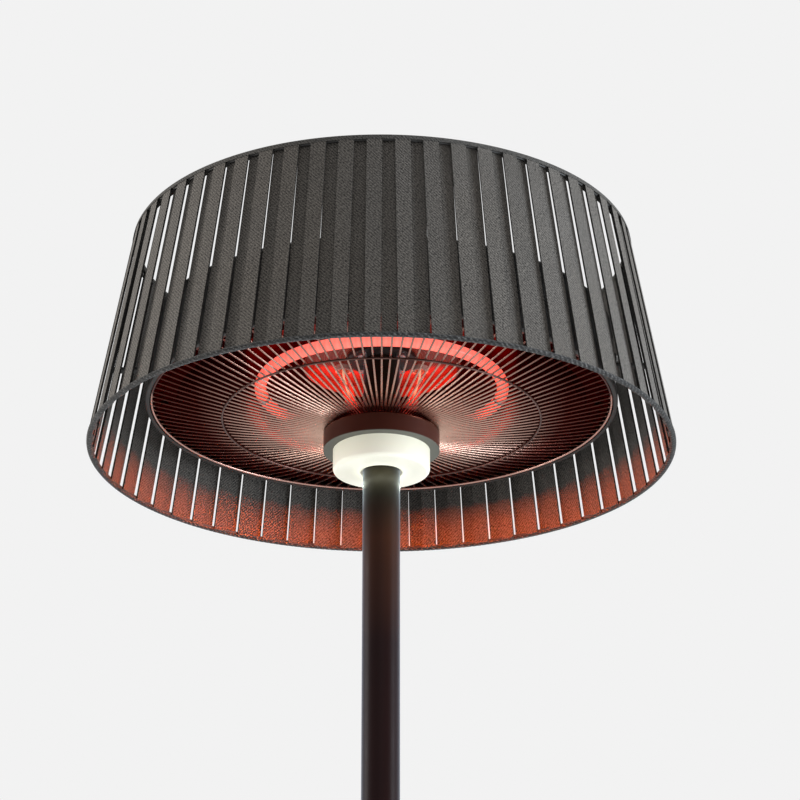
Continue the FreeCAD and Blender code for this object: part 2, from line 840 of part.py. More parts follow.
diffuser_foot = hub_foot - d.diffuser_drop
diffuser_bore = diffuser_radius - d.diffuser_wall
neck_bore = d.pole_radius + 2.5
neck_radius = neck_bore + d.diffuser_wall
neck_top = diffuser_foot + 9
edge_bore = d.diffuser_round - d.diffuser_wall
node("led_diffuser", revolved([
    (neck_bore, diffuser_foot),
    (diffuser_radius - d.diffuser_round, diffuser_foot),
    (diffuser_radius, diffuser_foot + d.diffuser_round, d.diffuser_round),
    (diffuser_radius, lip_top),
    (collar_bore - d.hub_fit, lip_top),
    (collar_bore - d.hub_fit, flange_top),
    (diffuser_bore, flange_top),
    (diffuser_bore, diffuser_foot + d.diffuser_round),
    (diffuser_radius - d.diffuser_round, diffuser_foot + d.diffuser_wall, -edge_bore),
    (neck_radius, diffuser_foot + d.diffuser_wall),
    (neck_radius, neck_top),
    (neck_bore, neck_top)]))
node("diffuser_gasket", tube(d.pole_radius, neck_bore, diffuser_foot + 1.5, neck_top - 1.5))


# Shade: two wire rings, ribs, arms, two layers of straps and the edge bindings
edge_half = d.ring_rod + d.strap_thickness + d.strap_fit * 2 + d.binding_wall
foot_ring = shade_foot_radius - edge_half
top_ring = shade_top_radius - edge_half
foot_ring_level = head + edge_half
top_ring_level = head + d.shade_height - edge_half
rise = top_ring_level - foot_ring_level
lean = foot_ring - top_ring
slant = (rise * rise + lean * lean).root()
lean_angle = math.degrees(math.atan2(num(lean), num(rise)))
node("shade_foot_ring", torus(foot_ring, d.ring_rod, foot_ring_level))
node("shade_top_ring", torus(top_ring, d.ring_rod, top_ring_level))

pitch = 360 / STRAP_COUNT
inner_angles = [INNER_STRAP_AT + i * pitch for i in range(STRAP_COUNT)]
outer_angles = [a + pitch / 2 for a in inner_angles]
rib_angles = [outer_angles[round(i * STRAP_COUNT / ARM_COUNT) - 1] for i in range(ARM_COUNT)]


def leaned(shape):
    """Sets a piece drawn upright at the origin on the slant of the shade, over +X."""
    shape.rotate(V(), V(0, 1, 0), -lean_angle)
    shape.translate(V(num(foot_ring), 0, num(foot_ring_level)))
    return shape


strap_tail = num(edge_half - d.binding_wall - d.strap_fit)


def strap(inside_face, width, tail):
    corner = V(inside_face, -num(width) / 2, -tail)
    return leaned(Part.makeBox(num(d.strap_thickness), num(width), num(slant) + tail, corner))


outer_face = num(d.ring_rod)
inner_face = -num(d.ring_rod + d.strap_thickness + d.strap_fit)
inner_tail = strap_tail - num(d.inner_rise)
node("outer_straps", solid(spun(strap(outer_face, d.strap_width, strap_tail), outer_angles)))
node("inner_straps", solid(spun(strap(inner_face, d.inner_width, inner_tail), inner_angles)))

rib_end = num(d.ring_rod - d.weld)
rib = leaned(Part.makeCylinder(num(d.ring_rod), num(slant) - 2 * rib_end, V(0, 0, rib_end)))
node("shade_ribs", solid(spun(rib, rib_angles)))


def slanted(ring, level, up, points):
    """Turns a section round the pole: its points lie across and along the slant of the shade."""
    along = (-(lean / slant) * up, rise / slant * up)
    out = (rise / slant, lean / slant)
    return revolved([
        (ring + out[0] * side + along[0] * step, level + out[1] * side + along[1] * step)
        for side, step in points])


binding_bore = edge_half - d.binding_wall
ring_middle = as_size(0)

# A tape folded over the ends of the straps at the top, open downwards
back = edge_half - d.binding_bevel
bore_back = binding_bore - d.binding_bevel
node("top_binding", slanted(top_ring, top_ring_level, -1, [
    (edge_half, d.top_depth),
    (edge_half, ring_middle),
    (back, -edge_half),
    (-back, -edge_half),
    (-edge_half, ring_middle),
    (-edge_half, d.top_depth),
    (-binding_bore, d.top_depth),
    (-binding_bore, ring_middle),
    (-bore_back, -binding_bore),
    (bore_back, -binding_bore),
    (binding_bore, ring_middle),
    (binding_bore, d.top_depth)]))

# A welt under the straps at the foot: high outside, only a lip inside
lip_level = d.foot_lip - binding_bore
foot_turn = edge_half - d.foot_bevel
node("foot_binding", slanted(foot_ring, foot_ring_level, 1, [
    (edge_half, d.binding_depth),
    (edge_half, -foot_turn),
    (foot_turn, -edge_half),
    (-foot_turn, -edge_half),
    (-edge_half, -foot_turn),
    (-edge_half, lip_level),
    (-binding_bore, lip_level),
    (-binding_bore, -binding_bore),
    (binding_bore, -binding_bore),
    (binding_bore, d.binding_depth)]))

arm_level = drum_top - d.arm_drop
arm_end = foot_ring - (arm_level - foot_ring_level) * (lean / rise) - d.ring_rod + d.weld
tab_thickness = d.arm_thickness
arm_span = arm_end - d.drum_radius + tab_thickness / 2
arm_bar = box(arm_span, d.arm_width, d.arm_thickness, arm_end - arm_span / 2, 0, arm_level)
arm_screw_head = d.arm_screw * 1.8
arm_hole_level = arm_level + d.arm_thickness + arm_screw_head + 1
tab_low = arm_level - d.arm_tab
tab_height = arm_hole_level + arm_screw_head + 1 - tab_low
arm_tab = box(tab_thickness * 2, d.arm_width, tab_height, d.drum_radius, 0, tab_low)
arm_screw_from = drum_bore - 3
arm_screw_length = d.drum_radius + tab_thickness - arm_screw_from
arm_shank = cylinder(d.arm_screw, arm_screw_length, arm_screw_from, 0, arm_hole_level, toward(0))
arm_head = cylinder(
    arm_screw_head, d.screw_head / 2, d.drum_radius + tab_thickness, 0, arm_hole_level, toward(0))
arm_one = cut(
    fuse(arm_bar, arm_tab), cylinder(d.drum_radius, tab_height, z=tab_low), arm_shank)
arm_screw_one = fuse(arm_shank, arm_head)
doc.recompute()
node("shade_arms", solid(spun(arm_one.Shape, rib_angles)))
node("arm_screws", solid(spun(arm_screw_one.Shape, rib_angles)))
drum_holes = solid(spun(arm_shank.Shape, rib_angles))
node("drum_cover", cut(drum_blank, drum_holes))


# Cable inside the pole, from the inlet terminals to the head
def cable_path():
    bend, small = num(d.cable_bend), num(d.cable) * 2.5
    low, high = num(cable_level), num(bridge_top + 8)
    start, finish = num(terminal_base - terminal_half), num(terminal_at - terminal_half)
    turn = math.sqrt(0.5)
    points = [V(0, start, low), V(0, bend, low), V(0, 0, low + bend),
              V(0, 0, high - small), V(0, small, high), V(0, finish, high)]
    first = Part.Arc(points[1], V(0, bend * (1 - turn), low + bend * (1 - turn)), points[2])
    second = Part.Arc(points[3], V(0, small * (1 - turn), high - small * (1 - turn)), points[4])
    return [Part.LineSegment(points[0], points[1]).toShape(), first.toShape(),
            Part.LineSegment(points[2], points[3]).toShape(), second.toShape(),
            Part.LineSegment(points[4], points[5]).toShape()]


terminal_base = weight_bore + d.terminal_step
inlet_terminal = box(
    d.terminal_length, d.terminal_width, d.terminal_height, 0, terminal_base, weight_top)
node("terminal_blocks", group([head_terminal, inlet_terminal]))
node("pole_cable", solid(swept(cable_path(), num(d.cable))))


# Controls at the back of the base: a power rocker between two foot buttons
rocker_y = control_row
frame_top = cover_top + d.frame_flange
pivot = cover_top - 2
frame_depth = 22
body_low = cover_top - frame_depth
frame_length = d.rocker_length + d.frame_wall * 2
frame_width = d.rocker_width + d.frame_wall * 2
frame_cut = box(frame_length, frame_width, frame_depth, 0, rocker_y, body_low)
frame = cut(
    fuse(
        box(frame_length, frame_width, frame_depth, 0, rocker_y, body_low),
        box(frame_length + 6, frame_width + 6, d.frame_flange, 0, rocker_y, cover_top)),
    box(d.rocker_length, d.rocker_width, frame_depth + 10, 0, rocker_y, body_low + d.frame_wall),
    cylinder(d.rocker_pin + d.pin_fit, d.rocker_length + d.frame_wall, -d.rocker_length / 2
             - d.frame_wall / 2, rocker_y, pivot, toward(0)))
node("switch_frame", frame)

half_rocker = d.rocker_width / 2 - 1
rocker_body = padded([
    (-half_rocker, 3),
    (-half_rocker * 0.5, -4.5),
    (half_rocker * 0.5, -4.5),
    (half_rocker, 3),
    (half_rocker, 6.5),
    (0, 4.8),
    (-half_rocker, 6.5)], d.rocker_length - 0.8)
rocker_pins = cylinder(
    d.rocker_pin, d.rocker_length + d.frame_wall - 0.6,
    -d.rocker_length / 2 - d.frame_wall / 2 + 0.3, 0, 0, toward(0))
rocker = fuse(rocker_body, rocker_pins)
place(rocker, 0, rocker_y, pivot, FreeCAD.Rotation(V(1, 0, 0), -num(d.rocker_tilt)))
node("power_rocker", rocker)

bush_radius = d.button_radius + d.button_gap + d.bush_wall
bush_top = cover_top + d.bush_flange
bush_low = bush_top - d.bush_length
keeper = 3
button_foot = bush_low - d.button_gap - keeper
module_top = button_foot - d.button_travel - d.button_gap
bushes = []
modules = []
for label, side in (("heat_button", -1), ("light_button", 1)):
    x = d.button_space * side
    bushes.append(cut(
        fuse(
            cylinder(bush_radius, d.bush_length, x, rocker_y, bush_low),
            cylinder(bush_radius + 4, d.bush_flange, x, rocker_y, cover_top)),
        cylinder(d.button_radius + d.button_gap, d.bush_length + 2, x, rocker_y, bush_low - 1)))
    node(label, fuse(
        cylinder(d.button_radius, bush_top + d.button_stand - button_foot, x, rocker_y, button_foot),
        cylinder(d.button_radius + d.bush_wall * 0.7, keeper, x, rocker_y, button_foot)))
    modules.append(box(20, 14, module_top - weight_top, x, rocker_y, weight_top))
node("button_bushes", group(bushes))
node("button_switches", group(modules))

# Tilt switch: a pendulum on a pin between two cheeks
tilt_x = d.tilt_inset - d.base_radius
bracket = d.tilt_plate
hang = weight_top + bracket + d.tilt_play + d.bob_radius + d.tilt_arm
cheek_height = tilt_height
cheek_gap = d.bob_width + 4
cheek_at = cheek_gap / 2 + bracket / 2
pin_length = cheek_gap + bracket * 2
pin_from = tilt_x - pin_length / 2
pin_hole = cylinder(d.tilt_pin, pin_length, pin_from, 0, hang, toward(0))
node("tilt_bracket", cut(
    fuse(
        box(pin_length, 26, bracket, tilt_x, 0, weight_top),
        box(bracket, 14, cheek_height, tilt_x - cheek_at, 0, weight_top),
        box(bracket, 14, cheek_height, tilt_x + cheek_at, 0, weight_top)),
    pin_hole))
node("tilt_pin", cylinder(d.tilt_pin, pin_length, pin_from, 0, hang, toward(0)))
bob_from = tilt_x - d.bob_width / 2
node("tilt_pendulum", cut(
    fuse(
        cylinder(d.bob_radius, d.bob_width, bob_from, 0, hang - d.tilt_arm, toward(0)),
        box(4, 4, d.tilt_arm, tilt_x, 0, hang - d.tilt_arm),
        cylinder(d.tilt_pin + 2.5, d.bob_width, bob_from, 0, hang, toward(0))),
    cylinder(d.tilt_pin + d.pin_fit, 60, tilt_x - 30, 0, hang, toward(0))))

# Cord inlet through the back wall of the base
inlet_radius = d.inlet_bore + d.inlet_wall
inlet_level = d.inlet_level
inlet_body = cylinder(
    inlet_radius, d.inlet_depth + d.inlet_flange, 0, d.base_radius - d.inlet_depth, inlet_level, toward(90))
inlet_lip = cut(
    cylinder(inlet_radius + 4, d.inlet_flange * 2, 0, d.base_radius - d.inlet_flange, inlet_level, toward(90)),
    cylinder(d.base_radius, cover_height, z=plate_top))
inlet_way = cylinder(d.inlet_bore, 60, 0, d.base_radius - 30, inlet_level, toward(90))
node("cord_inlet", cut(fuse(inlet_body, inlet_lip), inlet_way))

button_holes = group([
    cylinder(bush_radius, 20, d.button_space * side, rocker_y, cover_top - 10) for side in (-1, 1)])
node("base_cover", cut(
    cover_shell,
    box(frame_length, frame_width, 20, 0, rocker_y, cover_top - 10),
    button_holes,
    cylinder(inlet_radius, 40, 0, d.base_radius - 20, inlet_level, toward(90))))

doc.recompute()
for item in doc.Objects:
    if any(mark in item.State for mark in ("Invalid", "Error")):
        raise RuntimeError(f"{item.Name} ({item.Label}) did not recompute: {item.State}")
os.makedirs("parts", exist_ok=True)
for label, item in nodes.items():
    shape = item.Shape
    if shape.isNull() or not shape.isValid() or not shape.Solids:
        raise RuntimeError(f"{label} has no valid solid")
    shape.exportStep(f"parts/{label}.step")
print(f"{len(nodes)} parts written")
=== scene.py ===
"""Looks of a free-standing electric heater with a webbing shade, in metres."""

import json
import math

import bpy
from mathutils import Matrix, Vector


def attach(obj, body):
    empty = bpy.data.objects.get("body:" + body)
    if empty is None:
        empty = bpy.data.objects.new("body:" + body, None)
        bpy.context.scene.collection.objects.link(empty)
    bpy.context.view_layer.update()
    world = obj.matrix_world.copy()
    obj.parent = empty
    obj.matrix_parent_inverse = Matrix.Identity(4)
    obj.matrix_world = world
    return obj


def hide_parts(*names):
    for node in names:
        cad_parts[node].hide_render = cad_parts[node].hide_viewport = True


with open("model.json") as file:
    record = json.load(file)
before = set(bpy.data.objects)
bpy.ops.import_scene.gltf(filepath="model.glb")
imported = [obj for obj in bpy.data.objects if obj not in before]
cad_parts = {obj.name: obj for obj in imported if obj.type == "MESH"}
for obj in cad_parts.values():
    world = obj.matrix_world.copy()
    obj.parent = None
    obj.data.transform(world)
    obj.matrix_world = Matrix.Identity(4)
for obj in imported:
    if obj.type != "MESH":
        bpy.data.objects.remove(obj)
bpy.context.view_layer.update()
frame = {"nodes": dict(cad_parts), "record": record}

# Sizes of the part
HEAD = 1.870                    # level of the shade's lower edge
FOOT_RADIUS = 0.300             # outside of the shade's lower edge
TOP_RADIUS = 0.2625             # outside of its upper edge
WEAVE_RADIUS = 0.283            # about half-way up the shade
SHADE_HEIGHT = 0.230
EDGE = 0.0045                   # half the thickness of the shade's edges
STRAPS = 60                     # in each layer of the shade
FIRST_STRAP = -88.66            # degrees, middle of an inner strap
LAMP_RADIUS = 0.125
LAMP_LEVEL = HEAD + 0.0725
RECESS_RADIUS = 0.081           # recess in the middle of the reflector
BEAD_RADIUS = 0.2105            # bead pressed into the reflector
BEAD_WIDTH = 0.0016
LIP_TOP = HEAD + 0.0042         # top of the lip under the hub's collar, painted pale grey for the diffuser's light on it
DIFFUSER_FOOT = HEAD - 0.024
DIFFUSER_TOP = HEAD + 0.004

# Weave of the straps
RIB_PITCH = 0.0036
YARN_PITCH = 0.0023
WEBBING_DARK = (0.014, 0.0125, 0.0112)
WEBBING_LIGHT = (0.158, 0.1435, 0.128)

# Colours of the pole from 0.22 m (0) to 0.03 m (1) below the shade's lower edge: dark brown
# paint, a painted red reflection of the lamp's glow lower down, and painted grey light of the
# diffuser just under it
POLE_PAINTED_LIGHT_TINTS = (
    (0.08, (0.0100, 0.0018, 0.0010)), (0.66, (0.040, 0.0125, 0.0045)),
    (0.90, (0.0145, 0.0115, 0.0060)))

# Colours of the grille from the hub (0) to beyond its outer ring (1): heat browning towards the
# outside, and painted reflection of light, pale near the hub and again on the outer ring
GRILLE_INSIDE, GRILLE_OUTSIDE = 0.05, 0.25
WIRE_HEAT_AND_PAINTED_LIGHT_TINTS = (
    (0.036, (0.10, 0.030, 0.020)), (0.050, (0.70, 0.46, 0.36)),
    (0.42, (0.54, 0.345, 0.28)), (0.70, (0.120, 0.034, 0.025)),
    (0.915, (0.085, 0.022, 0.016)), (0.925, (0.60, 0.36, 0.30)))


class Looks:
    """A material and the nodes that make it."""

    def __init__(self, name, rough=0.5, metallic=0.0):
        self.material = bpy.data.materials.new(name)
        self.material.use_nodes = True
        self.tree = self.material.node_tree
        self.tree.nodes.clear()
        self.output = self.tree.nodes.new("ShaderNodeOutputMaterial")
        self.shader = self.tree.nodes.new("ShaderNodeBsdfPrincipled")
        self.tree.links.new(self.shader.outputs[0], self.output.inputs[0])
        self.set("Roughness", rough)
        self.set("Metallic", metallic)
        place = self.tree.nodes.new("ShaderNodeTexCoord")
        self.place = place.outputs["Object"]
        self.uv = place.outputs["UV"]
        self.facing = place.outputs["Normal"]

    def set(self, socket, value):
        """Links a socket to an input of the shader, or sets a number or colour on it."""
        target = self.shader.inputs[socket]
        if isinstance(value, bpy.types.NodeSocket):
            self.tree.links.new(value, target)
        elif target.type == "RGBA":
            target.default_value = (*value, 1)
        else:
            target.default_value = value
        return self

    def node(self, kind, inputs=(), output=0, **settings):
        """Makes a node and gives back one of its outputs."""
        made = self.tree.nodes.new(kind)
        for name, value in settings.items():
            setattr(made, name, value)
        for socket, value in dict(inputs).items():
            if isinstance(value, bpy.types.NodeSocket):
                self.tree.links.new(value, made.inputs[socket])
            else:
                made.inputs[socket].default_value = value
        return made.outputs[output]

    def math(self, operation, first, second=0.0):
        return self.node("ShaderNodeMath", {0: first, 1: second}, operation=operation)

    def times(self, first, second):
        return self.math("MULTIPLY", first, second)

    def plus(self, first, *others):
        for other in others:
            first = self.math("ADD", first, other)
        return first

    def minus(self, first, second):
        return self.math("SUBTRACT", first, second)

    def wave(self, value, rate):
        return self.math("SINE", self.times(value, rate))

    def noise(self, scale, detail=3.0, at=None):
        return self.node("ShaderNodeTexNoise", {
            "Vector": at or self.place, "Scale": scale, "Detail": detail})

    def spread(self, value, low, high):
        """Takes a value from 0..1 to low..high."""
        return self.node("ShaderNodeMapRange", {"Value": value, 3: low, 4: high})

    def between(self, value, start, end, low, high):
        """Takes a value from start..end to low..high and holds it beyond."""
        return self.node("ShaderNodeMapRange", {
            "Value": value, 1: start, 2: end, 3: low, 4: high})

    def ramp(self, value, *stops):
        made = self.tree.nodes.new("ShaderNodeValToRGB")
        band = made.color_ramp
        while len(band.elements) < len(stops):
            band.elements.new(1.0)
        for element, (spot, colour) in zip(band.elements, stops):
            element.position = spot
            element.color = (*colour, 1)
        self.tree.links.new(value, made.inputs[0])
        return made.outputs[0]

    def mix(self, share, first, second):
        """The first colour where share is 0, the second where it is 1."""
        return self.node(
            "ShaderNodeMix", {0: share, 6: first, 7: second}, 2, data_type="RGBA")

    def toned(self, colour, value, saturation=1.0):
        return self.node("ShaderNodeHueSaturation", {
            "Color": colour, "Saturation": saturation, "Value": value})

    def bump(self, height, depth, strength=1.0):
        return self.set("Normal", self.node("ShaderNodeBump", {
            "Height": height, "Distance": depth, "Strength": strength}))

    def xyz(self, vector):
        split = self.tree.nodes.new("ShaderNodeSeparateXYZ")
        self.tree.links.new(vector, split.inputs[0])
        return tuple(split.outputs)

    def turn(self):
        """Angle round the pole, in turns."""
        x, y, _z = self.xyz(self.place)
        return self.math("DIVIDE", self.math("ARCTAN2", y, x), math.tau)

    def from_pole(self):
        """Distance from the pole's middle line."""
        x, y, _z = self.xyz(self.place)
        return self.math("SQRT", self.plus(
            self.math("POWER", x, 2.0), self.math("POWER", y, 2.0)))

    def level(self):
        return self.xyz(self.place)[2]

    def depth(self):
        """Distance behind the pole, less than 0 in front of it."""
        return self.xyz(self.place)[1]

    def painted_shade_on_faces(self):
        """Painted shade: 1 on faces away from the pole, less on faces towards it, least on cut
        edges.
        """
        x, y, _z = self.xyz(self.place)
        face_x, face_y, _face_z = self.xyz(self.facing)
        along = self.minus(self.times(x, face_y), self.times(y, face_x))
        share = self.math("DIVIDE", self.math("ABSOLUTE", along), self.from_pole())
        outward = self.plus(self.times(x, face_x), self.times(y, face_y))
        return self.times(self.between(share, 0.4, 0.8, 1.0, 0.10),
                          self.between(outward, -0.02, 0.02, 0.75, 1.0))


def webbing(name, dark, light, first, sheen):
    """Fine twill: mixed yarns, each strap a little different, with painted shade on its cut
    edges and on its faces towards the pole.
    """
    m = Looks(name)
    turn, level = m.turn(), m.level()
    across = m.times(turn, math.tau * WEAVE_RADIUS)
    slope, fall = m.plus(across, level), m.minus(across, level)
    rib = m.wave(slope, math.tau / RIB_PITCH)
    yarn = m.wave(fall, math.tau / YARN_PITCH)
    fleck = m.noise(1.0, 2, m.node("ShaderNodeCombineXYZ", {
        0: m.times(slope, 640), 1: m.times(fall, 300)}))
    speckle = m.noise(700, 2)
    cloud = m.noise(38, 4)
    weave = m.plus(m.times(rib, 0.17), m.times(yarn, 0.08))
    for grain, weight in ((fleck, 1.8), (speckle, 1.0), (cloud, 0.18)):
        weave = m.plus(weave, m.times(m.minus(grain, 0.5), weight))
    colour = m.ramp(m.plus(weave, 0.5), (0.08, dark), (0.92, light))
    strap = m.math("FLOOR", m.times(m.minus(turn, first / 360), STRAPS))
    chance = m.node("ShaderNodeTexWhiteNoise", {"W": strap}, noise_dimensions="1D")
    # each strap's own tone, times painted shade on inner faces and cut edges
    tone = m.times(m.spread(chance, 0.93, 1.07), m.painted_shade_on_faces())
    warmth = m.spread(m.noise(9, 2), 0.75, 1.35)
    m.set("Base Color", m.toned(colour, tone, warmth))
    m.set("Roughness", m.spread(speckle, 0.68, 0.95))
    m.set("Sheen Weight", sheen).set("Sheen Roughness", 0.45)
    m.set("Sheen Tint", (0.75, 0.72, 0.68))
    m.set("Specular IOR Level", 0.25)
    return m.bump(weave, 0.0006, 0.7).material


def edge_cord():
    """Twisted speckled cord: three strands of fine yarn."""
    m = Looks("edge_cord", rough=0.8)
    along, about, _zero = m.xyz(m.uv)
    strand = m.wave(m.plus(m.times(about, 3), along), math.tau)
    ply = m.wave(m.plus(m.times(about, 18), along), math.tau)
    fleck = m.noise(520, 3)
    mixed = m.plus(m.times(strand, 0.09), m.times(ply, 0.08), fleck, 0.02)
    m.set("Base Color", m.ramp(
        mixed, (0.30, (0.007, 0.007, 0.007)), (0.56, (0.027, 0.026, 0.025)),
        (0.84, (0.19, 0.185, 0.18))))
    m.set("Sheen Weight", 0.12).set("Sheen Roughness", 0.5)
    m.set("Specular IOR Level", 0.25)
    return m.bump(m.plus(ply, fleck), 0.0003, 0.6).material


def orange_peel(m, rough):
    """Fine grain and rubbed patches of sprayed paint."""
    m.set("Roughness", m.spread(m.noise(55, 6), rough - 0.07, rough + 0.09))
    return m.bump(m.noise(900, 2), 0.00008, 0.5).material


def paint(name, dark, light, rough, coat=0.0):
    """Sprayed paint with a slow drift of tone."""
    m = Looks(name)
    m.set("Base Color", m.ramp(m.noise(14, 5), (0.25, dark), (0.75, light)))
    m.set("Coat Weight", coat).set("Coat Roughness", 0.25)
    return orange_peel(m, rough)


def hub_paint():
    """Dark brown paint; the lip under the collar is painted paler grey, standing in for the
    diffuser's light on it.
    """
    m = Looks("hub_paint")
    drift = m.noise(14, 5)
    body = m.ramp(drift, (0.25, (0.044, 0.0098, 0.0055)), (0.75, (0.070, 0.0182, 0.0108)))
    # painted light: the lip is paler because the diffuser lights it
    painted_lit_lip = m.ramp(drift, (0.25, (0.100, 0.100, 0.084)), (0.75, (0.145, 0.146, 0.122)))
    m.set("Base Color", m.mix(
        m.between(m.level(), LIP_TOP, LIP_TOP + 0.0008, 1.0, 0.0), body, painted_lit_lip))
    m.set("Specular IOR Level", 0.22)
    return orange_peel(m, 0.43)


def pole_paint():
    """Dark brown paint, with a painted red reflection of the glow below the head and painted
    grey light of the diffuser just under the light.
    """
    m = Looks("pole_paint")
    # painted light: the red glow and the diffuser's grey light are set in the colour by height
    tint = m.ramp(m.between(m.level(), HEAD - 0.22, HEAD - 0.03, 0.0, 1.0), *POLE_PAINTED_LIGHT_TINTS)
    m.set("Base Color", m.toned(tint, m.spread(m.noise(14, 5), 0.75, 1.25)))
    m.set("Specular IOR Level", 0.04)
    m.set("Sheen Weight", 1.0).set("Sheen Roughness", 0.36)
    m.set("Sheen Tint", (0.72, 0.83, 1.0))
    return orange_peel(m, 0.33)


def metal(name, dark, light, rough, scale):
    """Bare metal with fine scratches."""
    m = Looks(name, metallic=1.0)
    lines = m.noise(scale, 4)
    m.set("Base Color", m.ramp(m.noise(24, 5), (0.25, dark), (0.8, light)))
    m.set("Roughness", m.spread(lines, rough - 0.08, rough + 0.1))
    return m.bump(lines, 0.00003, 0.4).material


def reflector_metal():
    """Heat-tinted spun steel: rings round the pole, a bead, and in the middle a recess painted
    red for the lamp's glow on it, also lit by the recess lights.
    """
    m = Looks("reflector_metal")
    far = m.from_pole()
    rings = m.node(
        "ShaderNodeTexNoise", {"W": far, "Scale": 900.0, "Detail": 3.0}, noise_dimensions="1D")
    tint = m.plus(m.times(m.noise(18, 5), 0.7), m.times(rings, 0.3))
    pan = m.ramp(tint, (0.3, (0.020, 0.0046, 0.0036)), (0.7, (0.048, 0.0135, 0.0105)))
    # painted glow: the recess is coloured red, standing in for the lamp's light on it
    painted_glow = m.ramp(tint, (0.3, (0.26, 0.030, 0.016)), (0.7, (0.36, 0.050, 0.028)))
    inside = m.between(far, RECESS_RADIUS + 0.0004, RECESS_RADIUS + 0.0012, 1.0, 0.0)
    m.set("Base Color", m.mix(inside, pan, painted_glow))
    m.set("Metallic", m.minus(1.0, inside)).set("Specular Tint", (0.50, 0.20, 0.16))
    m.set("Roughness", m.spread(rings, 0.20, 0.32))
    aside = m.math("ABSOLUTE", m.minus(far, BEAD_RADIUS))
    bead = m.minus(1.0, m.between(aside, 0.0, BEAD_WIDTH, 0.0, 1.0))
    return m.bump(m.plus(rings, m.times(bead, 6.0)), 0.00012, 0.5).material


def grille_metal():
    """Chromed wire, browned by the heat towards the outside of the grille, less in front, where
    a painted reflection of the light below makes the wires paler.
    """
    m = Looks("grille_wire", metallic=1.0)
    lines = m.noise(240, 4, m.node(
        "ShaderNodeMapping", {"Vector": m.place, "Scale": (1, 1, 3)}))
    # painted reflection: wires in front are shifted towards the paler tints
    browned_and_lit = m.plus(m.from_pole(), m.between(m.depth(), -0.19, -0.03, -0.045, 0.0))
    tint = m.ramp(m.between(browned_and_lit, GRILLE_INSIDE, GRILLE_OUTSIDE, 0.0, 1.0), *WIRE_HEAT_AND_PAINTED_LIGHT_TINTS)
    m.set("Base Color", m.toned(tint, m.spread(m.noise(24, 5), 0.7, 1.3)))
    m.set("Roughness", m.spread(lines, 0.20, 0.38))
    return m.bump(lines, 0.00003, 0.4).material


def ring_metal():
    """Darkened wire of the middle ring, paler where it is rubbed."""
    m = Looks("ring_metal", metallic=1.0)
    m.set("Base Color", m.ramp(
        m.noise(60, 5), (0.3, (0.085, 0.040, 0.033)), (0.75, (0.20, 0.115, 0.098))))
    m.set("Roughness", m.spread(m.noise(240, 4), 0.28, 0.46))
    return m.bump(m.noise(400, 3), 0.00003, 0.4).material


def lamp_glass():
    """Glowing tube: brighter and cooler stretches of the coil, its two ends dark and clear."""
    m = Looks("lamp_glass", rough=0.15)
    in_ring = m.between(m.from_pole(), 0.098, 0.117, 0.0, 1.0)
    coil = m.wave(m.turn(), math.tau * 150)
    glow = m.plus(m.times(coil, 0.18), m.noise(16, 3))
    m.set("Base Color", m.ramp(glow, (0.2, (0.30, 0.05, 0.03)), (0.8, (0.45, 0.11, 0.07))))
    hot = m.plus(m.times(glow, 0.35), m.between(m.depth(), -0.115, -0.01, 0.65, 0.0))
    m.set("Emission Color", m.ramp(
        hot, (0.2, (1.0, 0.085, 0.055)), (0.9, (1.0, 0.190, 0.150))))
    m.set("Emission Strength", m.spread(in_ring, 0.16, 1.25))
    m.set("Alpha", m.spread(in_ring, 0.30, 1.0))
    return m.material


def filament():
    """Hot coil, nearly white where it leaves the ring and rises to its cap."""
    m = Looks("filament", rough=0.4)
    level = m.level()
    coil = m.wave(m.plus(m.turn(), m.times(level, 3)), 900)
    rising = m.between(level, LAMP_LEVEL + 0.003, LAMP_LEVEL + 0.016, 0.0, 1.0)
    heat = m.plus(m.times(coil, 0.06), m.times(rising, 0.9))
    m.set("Base Color", m.ramp(heat, (0.1, (0.20, 0.03, 0.02)), (0.9, (0.75, 0.60, 0.45))))
    m.set("Emission Color", m.ramp(heat, (0.1, (1.0, 0.10, 0.05)), (0.9, (1.0, 0.70, 0.42))))
    m.set("Emission Strength", m.spread(rising, 0.25, 1.1))
    return m.material


def opal(name, low, high, strength):
    """Lit opal plastic: a little cloudier in places and brighter at its foot."""
    m = Looks(name, rough=0.4)
    foot = m.between(m.level(), DIFFUSER_FOOT, DIFFUSER_TOP, 0.85, 0.15)
    cloud = m.plus(foot, m.times(m.minus(m.noise(30, 4), 0.5), 0.3))
    colour = m.ramp(cloud, (0.1, low), (0.9, high))
    m.set("Base Color", colour)
    m.set("Emission Color", colour).set("Emission Strength", strength)
    m.set("Subsurface Weight", 0.2).set("Subsurface Radius", (0.004, 0.004, 0.003))
    return m.bump(m.noise(700, 2), 0.00004, 0.3).material


def plastic(name, dark, light, rough, grain=1400, depth=0.00006):
    """Moulded plastic with a fine eroded grain."""
    m = Looks(name)
    skin = m.noise(grain, 3)
    m.set("Base Color", m.ramp(m.noise(60, 5), (0.3, dark), (0.75, light)))
    m.set("Roughness", m.spread(skin, rough - 0.08, rough + 0.1))
    return m.bump(skin, depth, 0.6).material


def rough_stuff(name, dark, light, rough, scale, depth):
    """Coarse surfaces: cast iron, mineral wool, rubber."""
    m = Looks(name)
    lumps = m.noise(scale, 8)
    m.set("Base Color", m.ramp(lumps, (0.3, dark), (0.72, light)))
    m.set("Roughness", m.spread(lumps, rough - 0.1, rough + 0.08))
    return m.bump(lumps, depth, 0.8).material


